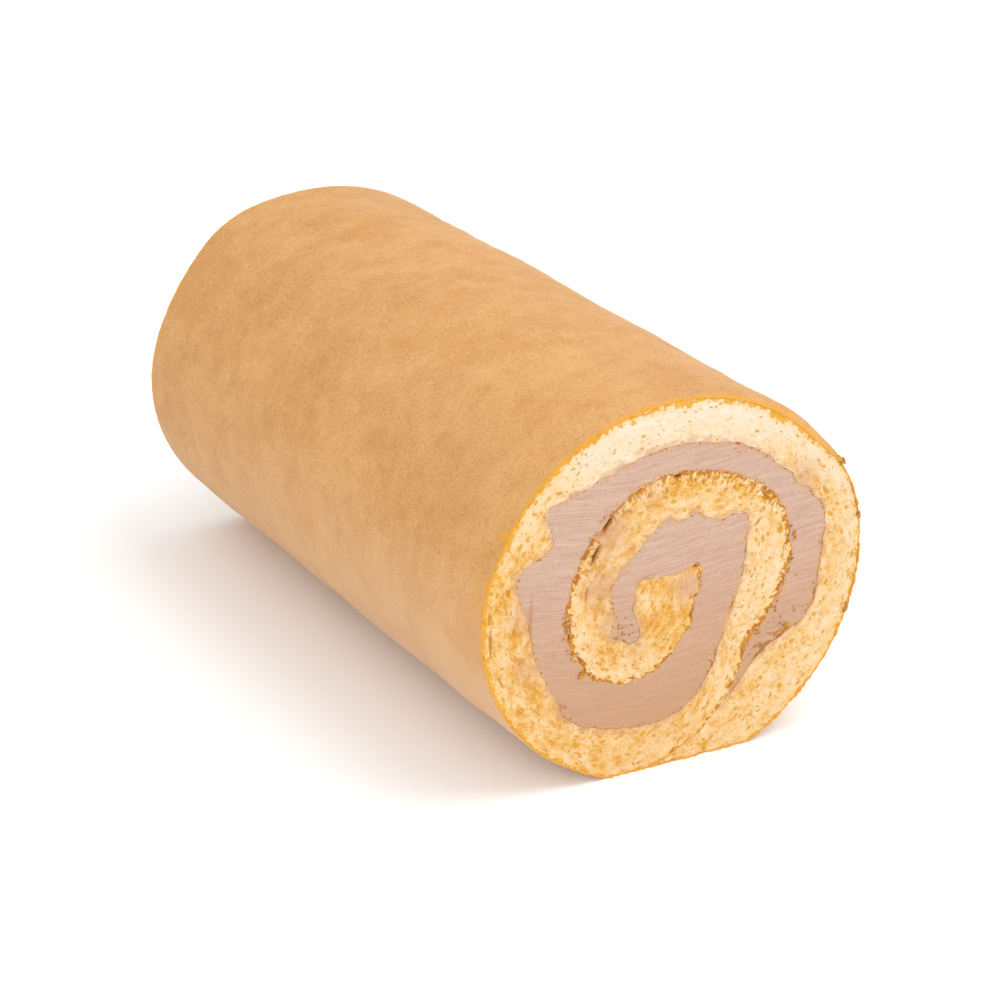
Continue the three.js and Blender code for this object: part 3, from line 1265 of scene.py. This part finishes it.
    def build(self) -> bpy.types.Object:
        """Join the two cut faces into one closed sheet of crumb.

        Returns:
            The finished piece.
        """
        front, back = self.face(End.FRONT), self.face(End.BACK)
        loops = {name: wrap(front[name], back[name]) for name in front}
        piece = Loops("crumb", loops.pop("points")[None], loops).make()
        return dress(piece, BakedCrumb(), "sponge_sheet")


@dataclass
class Skin:
    """The browned outside of the roll: one thin layer round its outer turn.

    Each scar shows gold: its turn, its distance from the middle to the front, radius and share.
    """

    roll: Roll
    spacing: float = 0.75
    thickness: float = 0.5
    rows: int = 112
    turns: tuple[float, float] = (446.0, 817.4)
    mean_radius: float = 46.0
    scars: tuple[tuple[float, float, float, float], ...] = (
        (567.0, 87.0, 1.7, 0.8), (602.0, 89.0, 1.4, 0.8), (640.0, 89.0, 1.6, 0.6),
        (668.0, 89.0, 1.8, 0.6), (618.0, 88.6, 1.0, 0.5), (549.0, 85.0, 1.0, 0.5),
    )

    def profile(self) -> tuple[np.ndarray, np.ndarray]:
        """Lay out the closed profile: over the outside from cut to cut, and back under it.

        The rows on the outside lie closest at the cuts, as sin of an even division.

        Returns:
            The place along the roll, from -1 to 1, and the depth below the surface.
        """
        even = np.linspace(-1.0, 1.0, self.rows)
        over = 0.45 * even + 0.55 * np.sin(even * math.pi / 2)
        rim = np.array([0.12, 0.5, 0.88])
        under = np.array([0.97, 0.6, 0.0, -0.6, -0.97])
        along = np.concatenate([over, np.ones(3), under, -np.ones(3)])
        depth = np.concatenate([np.zeros(self.rows), rim, np.ones(5), rim[::-1]])
        return along, depth * self.thickness

    def relief(self, points: np.ndarray, along: np.ndarray, turn: np.ndarray) -> np.ndarray:
        """Work out how far the surface stands out from the even roll.

        It is the sum of a broad swelling, faint folds that run round the roll near its far end
        and its upper right, and a low pebbling.

        Args:
            points: Places on the even roll.
            along: The place of each along the roll.
            turn: The turn of each.

        Returns:
            The distance outwards, in millimetres.
        """
        broad = 0.18 * Ripple(5, 42.0).at(points) + 0.06 * Ripple(6, 14.0).at(points)
        folds = Ripple(7, 4.2, stretch=(3.6, 1.0, 3.6)).at(points)
        where = 0.25 + 2.2 * soft_step(along, 20.0, 70.0) * soft_step(turn, 585.0, 625.0)
        where = where + 0.8 * soft_step(turn, 635.0, 665.0) * soft_step(turn, 745.0, 715.0)
        pebble = 0.012 * Ripple(8, 2.4, waves=40).at(points)
        return broad + 0.04 * folds * where + pebble

    def gold(self, turn: np.ndarray, along: np.ndarray, even: np.ndarray) -> np.ndarray:
        """Work out the share of gold: high at the cuts, and round the scars of the front end.

        Args:
            turn: The turn of each place.
            along: Its place along the roll.
            even: The place on the even roll.

        Returns:
            The share, from 0 to 1.
        """
        half = self.roll.length / 2
        to_cut = half - np.abs(along)
        front = along < 0
        share = soft_step(to_cut + 0.35 * Ripple(23, 1.8).at(even), 1.3, 0.1)
        share = np.maximum(share, 0.3 * soft_step(to_cut, 4.0, 0.5) * front)
        lower_left = soft_step(turn, 520.0, 545.0) * soft_step(turn, 590.0, 565.0) * front
        share = np.maximum(share, 0.25 * soft_step(to_cut, 16.0, 2.0) * lower_left)
        for scar_turn, scar_along, radius, strength in self.scars:
            away = np.hypot((turn - scar_turn) * math.radians(self.mean_radius), along + scar_along)
            share = np.maximum(share, strength * np.exp(-((away / radius) ** 2)) * front)
        return share

    def build(self) -> bpy.types.Object:
        """Make the layer of skin.

        Returns:
            The finished piece.
        """
        spiral = self.roll.spiral
        turn = spiral.evenly(*self.turns, self.spacing)
        share, depth = self.profile()
        half = self.roll.length / 2
        turns = np.repeat(turn, len(share))
        along = np.tile(share, len(turn)) * half
        depths = np.tile(depth, len(turn))
        even = self.roll.stand(spiral.skin_line(turns), along)
        out = self.relief(even, along, turns)
        out = out * (1.0 - 0.8 * soft_step(half - np.abs(along), 16.0, 0.0))
        buried = soft_step(turns, 470.0, 455.0) + soft_step(turns, 775.0, 800.0)
        out = out * (1.0 - np.clip(buried, 0.0, 1.0)) + self.roll.bulge(turns, along)
        section = spiral.skin_line(turns, depths - out)
        gold = self.gold(turns, along, even)
        ragged = 0.18 * Ripple(21, 1.6).at(even) + 0.1 * Ripple(22, 0.8).at(even)
        ragged = ragged * np.where(along < 0, 1.0, 0.4) - 0.1
        along = along + np.sign(along) * ragged * (np.abs(along) > half * 0.999)
        points = self.roll.stand(section, along, 0.02 + depths)
        points = points.reshape(1, len(turn), len(share), 3)
        piece = Loops("browned_skin", points, {"gold": gold}).make()
        return dress(piece, BrownedSkin(), "sponge_sheet")


@dataclass
class Cream:
    """The cream between the turns of the sheet, from the first bend to its thin end.

    It passes into the crumb on both sides by the overlap. Crumbly spots have crumbs mixed in, and
    the cracks are rows of Pits.
    """

    roll: Roll
    spacing: float = 0.5
    across: int = 26
    turns: tuple[float, float] = (150.5, 784.2)
    overlap: float = 0.45
    crumbly: Spots = Spots((
        (-13, -6.5, 2.8, 1.3), (15.5, -7, 2.2, 1.0), (10, -19, 2.8, 1.0), (27, -15, 3.2, 1.4),
        (22, -19, 2.8, 1.3), (32, -11, 1.8, 1.2), (36, -8, 1.4, 0.8), (12, -26, 2.2, 0.9),
        (-34, 15, 1.6, 0.4), (16, 8, 1.4, 0.5), (-25, 27.5, 1.4, 0.5), (16, 30, 2.5, 0.5),
    ))
    # Each crack is darkened by its depth with painted shade.
    cracks: tuple[tuple[float, float, float, float, float, float], ...] = (
        (-28.5, -21.0, 1.9, 0.22, -0.5, 0.3), (-36.3, -1.0, 7.5, 0.5, 1.52, 0.12),
        (-35.4, -11.0, 4.0, 0.5, 1.8, 0.12), (-34.0, 1.2, 3.0, 0.15, 0.1, 0.03),
    )

    def face(self, end: End) -> dict[str, np.ndarray]:
        """Work out the relief and the colour fields of one cut face.

        Args:
            end: Which cut end.

        Returns:
            Each field by name, and under "points" the places of the grid in the roll.
        """
        spiral = self.roll.spiral
        turn = spiral.evenly(*self.turns, self.spacing)
        inside, outside = spiral.cream_inside(turn), spiral.cream_outside(turn)
        width = np.linalg.norm(outside - inside, axis=1)
        out = (outside - inside) / width[:, None]
        inside, outside = inside - out * self.overlap, outside + out * self.overlap
        share = np.linspace(0.0, 1.0, self.across)
        grid = inside[:, None] + (outside - inside)[:, None] * share[None, :, None]
        full = width + 2 * self.overlap
        from_inside = (full[:, None] * share[None]).reshape(-1) - self.overlap
        from_outside = (full[:, None] * (1.0 - share[None])).reshape(-1) - self.overlap
        turns = np.repeat(turn, len(share))
        flat = self.roll.roughen(grid.reshape(-1, 2), end)
        solid = in_space(flat, end)
        seed = 31 if end is End.FRONT else 77
        crack_depth, _ = Pits(np.array(self.cracks)).at(flat[:, 0], flat[:, 1])
        drag = Ripple(seed + 2, 2.2, stretch=(7.0, 1.0, 1.0)).at(solid)
        crumbly = self.crumbly.at(flat)
        near = np.minimum(from_inside, from_outside)
        inwards = 0.26 + 0.025 * drag + crack_depth + 0.08 * soft_step(near, 0.5, -0.2)
        inwards = inwards + 0.12 * crumbly * (1.0 + Ripple(seed + 3, 1.3).at(solid))
        along = end.value * (self.roll.length / 2 - inwards)
        on_skin = from_inside + 0.6 * (turns < spiral.core_turn)
        slope = np.linspace(-60.0, 60.0, 241)
        climb = np.cumsum(-0.16 + 0.24 * soft_step(slope, -24.0, 0.0)) * 0.5
        drawn = flat[:, 1] - np.interp(flat[:, 0], slope, climb)
        fields = {
            "points": self.roll.stand(flat, along, 2.0),
            "sheet_mm": np.minimum(from_outside, on_skin + 0.25),
            "crumbly": crumbly,
            "crack": np.minimum(4.0 * crack_depth, 0.55),
            "drag": np.column_stack([solid[:, :2], drawn]),
        }
        shape = grid.shape[:2]
        return {name: value.reshape(*shape, *value.shape[1:]) for name, value in fields.items()}

    def build(self) -> bpy.types.Object:
        """Join the two cut faces into one closed body of cream.

        Returns:
            The finished piece.
        """
        front, back = self.face(End.FRONT), self.face(End.BACK)
        loops = {name: wrap(front[name], back[name]) for name in front}
        piece = Loops("cream", loops.pop("points")[None], loops).make()
        return dress(piece, WhippedCream(), "cream_filling")


@dataclass
class LooseCrumbs:
    """Crumbs that the knife dragged onto the cream, and flakes of crust that stand off the rim.

    A lump is a sphere whose radius wanders by a quarter, drawn out to its half sizes. Each lump
    reads the ripple that shapes it a step apart from the next one. Dragged gives stretches of
    skin, from turn to turn, and how many small lumps lie along each.
    """

    roll: Roll
    dragged: tuple[tuple[float, float, int], ...] = (
        (148.0, 190.0, 14), (215.0, 250.0, 5), (335.0, 402.0, 18),
    )
    stuck: tuple[tuple[float, float, float, float, float], ...] = (
        (-23.8, -14.5, 1.2, 0.6, 0.7), (-27.3, -1.5, 0.9, 0.55, 0.2), (-26.4, -5.0, 0.8, 0.5, 1.2),
        (30.4, 7.4, 0.6, 0.4, 0.9), (30.7, 6.2, 0.4, 0.3, 1.4), (30.0, 1.4, 0.5, 0.3, 0.1),
        (29.0, -14.5, 0.8, 0.5, 0.8), (27.0, -16.0, 0.7, 0.5, 0.5), (5.4, 5.3, 0.7, 0.4, -0.8),
    )
    flakes: tuple[tuple[float, float, float, float, float], ...] = (
        (42.5, 22.4, 1.6, 0.6, -1.05), (47.4, 8.8, 1.2, 0.5, -1.45), (44.9, -13.6, 2.0, 0.5, 1.25),
    )
    loops: int = 6
    sides: int = 9
    apart: float = 7.0

    def rows(self, end: End) -> np.ndarray:
        """List the lumps of one cut end: x, z, half length, half width and lean of each.

        The flakes and the larger crumbs are at the front only. The small ones are drawn at
        random, just outside the skin of the inner turn.

        Args:
            end: Which cut end.

        Returns:
            One row for each lump.
        """
        rng = np.random.default_rng(71 if end is End.FRONT else 83)
        rows = list(self.stuck + self.flakes) if end is End.FRONT else []
        for first, last, count in self.dragged:
            turn = rng.uniform(first, last, count)
            place = self.roll.spiral.skin_line(turn, -rng.gamma(1.6, 0.4, count))
            half = 0.16 + rng.gamma(2.0, 0.05, count)
            wide = half * rng.uniform(0.6, 1.0, count)
            rows += np.stack([*place.T, half, wide, rng.uniform(0, math.pi, count)], axis=1).tolist()
        return np.array(rows)

    def build(self) -> bpy.types.Object:
        """Shape every lump and join them in one piece.

        Returns:
            The finished piece.
        """
        rows = [self.rows(end) for end in End]
        ends = np.repeat([end.value for end in End], [len(part) for part in rows])
        x, z, half_long, half_wide, lean = np.concatenate(rows).T[:, :, None, None]
        ends = ends[:, None, None]
        polar = np.linspace(0.3, math.pi - 0.3, self.loops)[None, :, None]
        around = np.linspace(0.0, 2.0 * math.pi, self.sides, endpoint=False)[None, None, :]
        unit = np.stack(np.broadcast_arrays(
            np.cos(polar), np.sin(polar) * np.cos(around), np.sin(polar) * np.sin(around)
        ), axis=-1)
        own = unit + np.arange(len(x))[:, None, None, None] * self.apart
        radius = 1.0 + 0.25 * Ripple(61, 1.6).at(own.reshape(-1, 3)).reshape(own.shape[:-1])
        long, wide, deep = (radius * unit[..., axis] for axis in range(3))
        long, wide, deep = long * half_long, wide * half_wide, deep * 0.8 * half_wide
        section = np.stack(
            [x + long * np.cos(lean) - wide * np.sin(lean),
             z + long * np.sin(lean) + wide * np.cos(lean)], axis=-1,
        )
        along = ends * (self.roll.length / 2 - 0.15) + deep
        points = self.roll.stand(section, along)
        piece = Loops("loose_crumbs", points, sharp_degrees=80.0).make()
        return dress(piece, ToastedCrumb(), "sponge_sheet")


# ---------------------------------------------------------------- the studio


@dataclass(frozen=True)
class Studio:
    """A plain pale floor, soft light and the camera."""

    face_centre: tuple[float, float, float]
    camera_from_face: tuple[float, float, float] = (-345.9, -560.5, 293.6)
    yaw: float = 28.355
    pitch: float = 22.44
    roll: float = 0.57
    lens: float = 119.04
    sensor: float = 36.0

    def camera(self) -> None:
        """Set the camera by its place, yaw to the right of +Y, pitch below level, and roll."""
        yaw, pitch, roll = (math.radians(v) for v in (self.yaw, self.pitch, self.roll))
        ahead = Vector(
            (math.sin(yaw) * math.cos(pitch), math.cos(yaw) * math.cos(pitch), -math.sin(pitch))
        )
        right = Vector((math.cos(yaw), -math.sin(yaw), 0.0))
        down = ahead.cross(right)
        across = math.cos(roll) * right + math.sin(roll) * down
        up = math.sin(roll) * right - math.cos(roll) * down
        data = bpy.data.cameras.new("camera")
        data.lens = self.lens
        data.sensor_width = self.sensor
        data.clip_start, data.clip_end = 0.01, 50.0
        camera = bpy.data.objects.new("camera", data)
        turned = Matrix((across, up, -ahead)).transposed().to_4x4()
        place = [f + c for f, c in zip(self.face_centre, self.camera_from_face)]
        camera.matrix_world = Matrix.Translation([v * MM for v in place]) @ turned
        bpy.context.scene.collection.objects.link(camera)
        bpy.context.scene.camera = camera

    def floor(self) -> None:
        """Lay a wide, flat, almost white floor under the roll."""
        reach = 12.0
        mesh = bpy.data.meshes.new("floor")
        corners = [(-reach, -reach, 0), (reach, -reach, 0), (reach, reach, 0), (-reach, reach, 0)]
        mesh.from_pydata(corners, [], [(0, 1, 2, 3)])
        floor = bpy.data.objects.new("floor", mesh)
        bpy.context.scene.collection.objects.link(floor)
        made, tree = blank_material("pale_board")
        shader = add_node(
            tree, "BsdfPrincipled",
            {"Base Color": linear("#FAFAFA"), "Roughness": 0.9, "Specular IOR Level": 0.1},
        )
        add_node(tree, "OutputMaterial", {"Surface": shader})
        mesh.materials.append(made)

    def light(self) -> None:
        """Light the roll from all round, with a broad key above its right side."""
        world = bpy.data.worlds.new("soft_room")
        world.use_nodes = True
        world.node_tree.nodes.clear()
        back = add_node(
            world.node_tree, "Background", {"Color": linear("#FFFFFF"), "Strength": 0.93}
        )
        add_node(world.node_tree, "OutputWorld", {"Surface": back})
        bpy.context.scene.world = world
        self.softbox("key", (0.5, -0.35, 1.1), 0.9, 6.9)
        self.softbox("front_fill", (-0.7, -1.2, 0.7), 1.0, 6.3)

    def softbox(
        self, name: str, place: tuple[float, float, float], size: float, power: float
    ) -> None:
        """Hang a square soft light that looks at the roll.

        Args:
            name: Its name.
            place: Where it hangs, in metres.
            size: The length of its side, in metres.
            power: Its power, in watts.
        """
        data = bpy.data.lights.new(name, "AREA")
        data.size = size
        data.energy = power
        lamp = bpy.data.objects.new(name, data)
        lamp.location = place
        lamp.rotation_mode = "QUATERNION"
        lamp.rotation_quaternion = (Vector((0, 0, 0.04)) - Vector(place)).to_track_quat("-Z", "Y")
        bpy.context.scene.collection.objects.link(lamp)


def main() -> None:
    """Load the frame, build the roll in it, and light it."""
    logging.basicConfig(level=logging.INFO, format="%(name)s: %(message)s")
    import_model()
    low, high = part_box("sponge_sheet")
    length = (high[1] - low[1]) / MM
    roll = Roll(length=length)
    for part in (Crumb(roll), Skin(roll), Cream(roll), LooseCrumbs(roll)):
        piece = part.build()
        LOG.info("%s: %d faces", piece.name, len(piece.data.polygons))
    spiral = roll.spiral
    studio = Studio(face_centre=(spiral.side_shift, -length / 2, -spiral.floor))
    studio.camera()
    studio.floor()
    studio.light()
    bpy.context.scene.view_settings.view_transform = "Standard"


if __name__ == "__main__":
    main()
